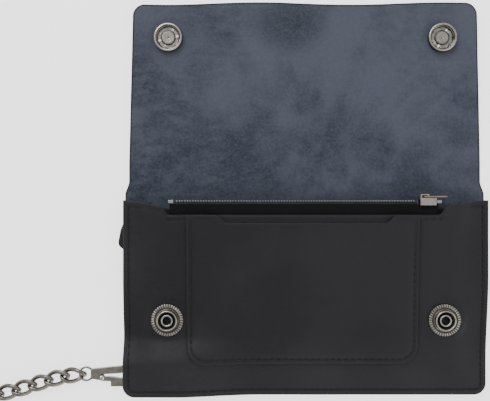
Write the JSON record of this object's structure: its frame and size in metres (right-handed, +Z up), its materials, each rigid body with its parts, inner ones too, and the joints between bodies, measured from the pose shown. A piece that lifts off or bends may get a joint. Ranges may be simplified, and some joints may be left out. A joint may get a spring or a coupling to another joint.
{
  "type": "chain wallet",
  "caption": "Long snap wallet lying open, with a suede-faced flap, zip pocket, card pocket, bill compartment and a belt chain of curb links ending in a clasp.",
  "frame": {"origin": "on the floor, at the middle of the wallet's own footprint with its flap open, the chain left out", "axes": "+X to the wallet's right, +Y from the body's bottom edge towards the end of the open flap, +Z up out of the front"},
  "size_m": [0.2847, 0.169, 0.0138],
  "materials": {
    "black_leather": "smooth matte, dyed through",
    "suede": "napped slate blue-grey",
    "zip_tape": "woven",
    "zip_teeth": "moulded nylon",
    "antique_nickel": "worn, slightly darkened",
    "gunmetal": "warm, worn bright on the high spots"
  },
  "bodies": {
    "wallet_body": {"back_panel": "black_leather", "pocket_divider": "black_leather", "front_panel": "black_leather", "card_pocket": "black_leather", "gusset_left": "black_leather", "gusset_right": "black_leather", "snap_stud_left": "antique_nickel", "snap_stud_right": "antique_nickel", "snap_eyelet_left": "antique_nickel", "snap_eyelet_right": "antique_nickel", "zip_tape_front": "zip_tape", "zip_tape_rear": "zip_tape", "zip_coil_front": "zip_teeth", "zip_coil_rear": "zip_teeth", "zip_top_stop_front": "antique_nickel", "zip_top_stop_rear": "antique_nickel", "zip_bottom_stop": "antique_nickel"},
    "spine": {"flap_spine": "suede"},
    "flap": {"flap": "suede", "snap_socket_left": "antique_nickel", "snap_socket_right": "antique_nickel", "snap_spring_left": "antique_nickel", "snap_spring_right": "antique_nickel", "snap_cap_left": "antique_nickel", "snap_cap_right": "antique_nickel"},
    "slider": {"zip_slider": "antique_nickel"},
    "pull": {"zip_pull": "antique_nickel"},
    "tab": {"chain_tab": "black_leather"},
    "clasp": {"clasp_body": "gunmetal", "clasp_pin": "antique_nickel", "clasp_spring": "antique_nickel"},
    "clasp_gate": {"clasp_gate": "gunmetal"},
    "link_1": {"chain_link_1": "gunmetal"},
    "link_2": {"chain_link_2": "gunmetal"},
    "link_3": {"chain_link_3": "gunmetal"},
    "link_4": {"chain_link_4": "gunmetal"},
    "link_5": {"chain_link_5": "gunmetal"},
    "link_6": {"chain_link_6": "gunmetal"},
    "chain_rest": {"chain_lead": "gunmetal", "chain_coil": "gunmetal"},
    "belt_clasp": {"belt_clasp_body": "gunmetal", "belt_clasp_pin": "antique_nickel", "belt_clasp_spring": "antique_nickel"},
    "belt_gate": {"belt_clasp_gate": "gunmetal"}
  },
  "joints": [
    {"name": "spine_fold", "type": "hinge", "parent": "wallet_body", "child": "spine", "pos_m": [0.00115, 0.0024, 0.0015], "axis": [1, 0, 0], "range_deg": [0, 90]},
    {"name": "flap_fold", "type": "hinge", "parent": "spine", "child": "flap", "pos_m": [0.00115, 0.0151, 0.0015], "axis": [1, 0, 0], "range_deg": [0, 88.9]},
    {"name": "zip_slide", "type": "slide", "parent": "wallet_body", "child": "slider", "axis": [-1, 0, 0], "range_m": [0, 0.101]},
    {"name": "pull_swing", "type": "hinge", "parent": "slider", "child": "pull", "pos_m": [0.05055, 0.00095, 0.0088], "axis": [0, 0, 1], "range_deg": [0, 176]},
    {"name": "tab_flex", "type": "hinge", "parent": "wallet_body", "child": "tab", "pos_m": [-0.0434, -0.0738, 0.003], "axis": [0, 1, 0], "range_deg": [-90, 0]},
    {"name": "clasp_swivel", "type": "hinge", "parent": "tab", "child": "clasp", "pos_m": [-0.0594, -0.0738, 0.0025], "axis": [0, 0, 1], "range_deg": [-7, 7]},
    {"name": "clasp_gate_open", "type": "hinge", "parent": "clasp", "child": "clasp_gate", "pos_m": [-0.08465, -0.07575, 0.0025], "axis": [0, 0, 1], "range_deg": [0, 11], "stiffness_Nm_per_rad": 0.005, "springref_deg": -17.19},
    {"name": "link_1_swing", "type": "hinge", "parent": "clasp", "child": "link_1", "pos_m": [-0.09125, -0.074, 0.0025], "axis": [0, 0, 1], "range_deg": [-8, 10]},
    {"name": "link_2_swing", "type": "hinge", "parent": "link_1", "child": "link_2", "pos_m": [-0.10035, -0.07496, 0.0022], "axis": [0, 0, 1], "range_deg": [-8, 5]},
    {"name": "link_3_swing", "type": "hinge", "parent": "link_2", "child": "link_3", "pos_m": [-0.10734, -0.0767, 0.0022], "axis": [0, 0, 1], "range_deg": [-6, 15]},
    {"name": "link_4_swing", "type": "hinge", "parent": "link_3", "child": "link_4", "pos_m": [-0.11422, -0.07881, 0.0022], "axis": [0, 0, 1], "range_deg": [-6, 15]},
    {"name": "link_5_swing", "type": "hinge", "parent": "link_4", "child": "link_5", "pos_m": [-0.12111, -0.08091, 0.0022], "axis": [0, 0, 1], "range_deg": [-6, 15]},
    {"name": "link_6_swing", "type": "hinge", "parent": "link_5", "child": "link_6", "pos_m": [-0.12812, -0.08253, 0.0022], "axis": [0, 0, 1], "range_deg": [-6, 15]},
    {"name": "chain_rest_swing", "type": "hinge", "parent": "link_6", "child": "chain_rest", "pos_m": [-0.13528, -0.08328, 0.0022], "axis": [0, 0, 1], "range_deg": [-6, 15]},
    {"name": "belt_clasp_swing", "type": "hinge", "parent": "chain_rest", "child": "belt_clasp", "pos_m": [-0.17748, -0.05633, 0.0025], "axis": [0, 0, 1], "range_deg": [-10, 10]},
    {"name": "belt_gate_open", "type": "hinge", "parent": "belt_clasp", "child": "belt_gate", "pos_m": [-0.17296, -0.05121, 0.0025], "axis": [0, 0, 1], "range_deg": [0, 11], "stiffness_Nm_per_rad": 0.005, "springref_deg": -17.19}
  ],
  "couplings": [
    {"joint": "flap_fold", "follows": "spine_fold", "ratio": 0.98778}
  ]
}
